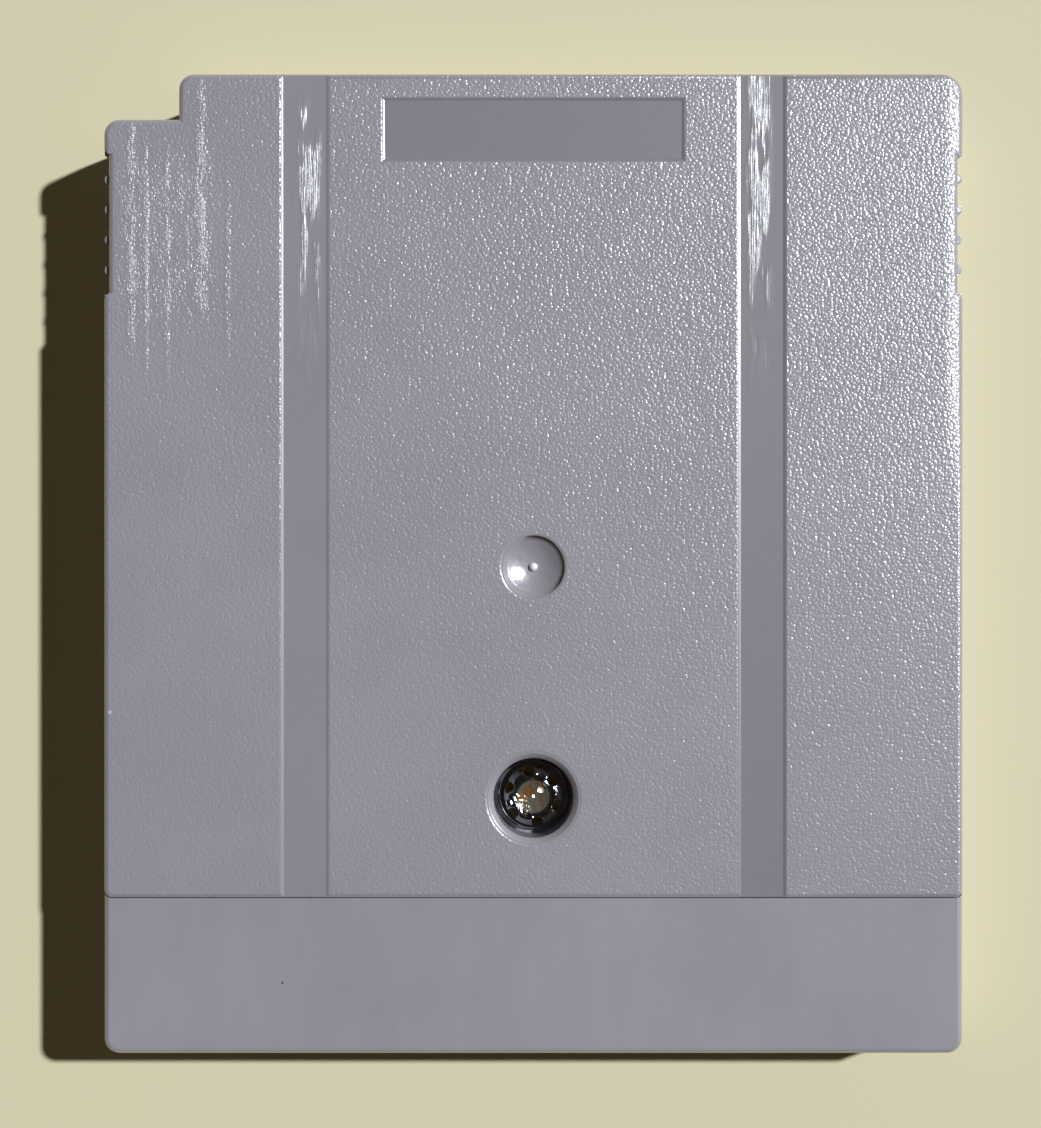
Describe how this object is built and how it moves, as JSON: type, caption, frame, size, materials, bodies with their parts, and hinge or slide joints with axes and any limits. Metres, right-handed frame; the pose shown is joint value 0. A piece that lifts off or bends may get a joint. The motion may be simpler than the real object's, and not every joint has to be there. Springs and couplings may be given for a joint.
{
  "type": "game cartridge",
  "caption": "Flat grey game cartridge for a handheld console, with ribbed side grips, a corner notch, a screwed two-part shell and a connector slot.",
  "frame": {"origin": "centre of the label face's outline, on the surface that the cartridge lies on", "axes": "+X to the right seen from the back, +Y towards the top edge, away from the connector, +Z out of the back panel"},
  "size_m": [0.057, 0.065, 0.0078],
  "materials": {
    "case_plastic": "fine spark-eroded grain on the panel, smooth in the channels and on the band",
    "screw_metal": "bright nickel plate",
    "board_laminate": "green solder mask",
    "contact_gold": "gold plate",
    "chip_mould": "matt moulded",
    "lead_tin": "tin plate",
    "cell_steel": "brushed",
    "capacitor_ceramic": "satin fired ceramic"
  },
  "bodies": {
    "root": {"front_shell": "case_plastic", "back_shell": "case_plastic", "case_screw": "screw_metal", "circuit_board": "board_laminate", "edge_contacts": "contact_gold", "rom_chip_body": "chip_mould", "rom_chip_leads": "lead_tin", "save_ram_body": "chip_mould", "save_ram_leads": "lead_tin", "bank_controller_body": "chip_mould", "bank_controller_leads": "lead_tin", "power_monitor_body": "chip_mould", "power_monitor_leads": "lead_tin", "coin_cell": "cell_steel", "cell_tab_positive": "lead_tin", "cell_tab_negative": "lead_tin", "capacitor_1_body": "capacitor_ceramic", "capacitor_1_ends": "lead_tin", "capacitor_2_body": "capacitor_ceramic", "capacitor_2_ends": "lead_tin", "capacitor_3_body": "capacitor_ceramic", "capacitor_3_ends": "lead_tin", "capacitor_4_body": "capacitor_ceramic", "capacitor_4_ends": "lead_tin", "resistor_1_body": "chip_mould", "resistor_1_ends": "lead_tin", "resistor_2_body": "chip_mould", "resistor_2_ends": "lead_tin", "resistor_3_body": "chip_mould", "resistor_3_ends": "lead_tin"}
  },
  "joints": []
}
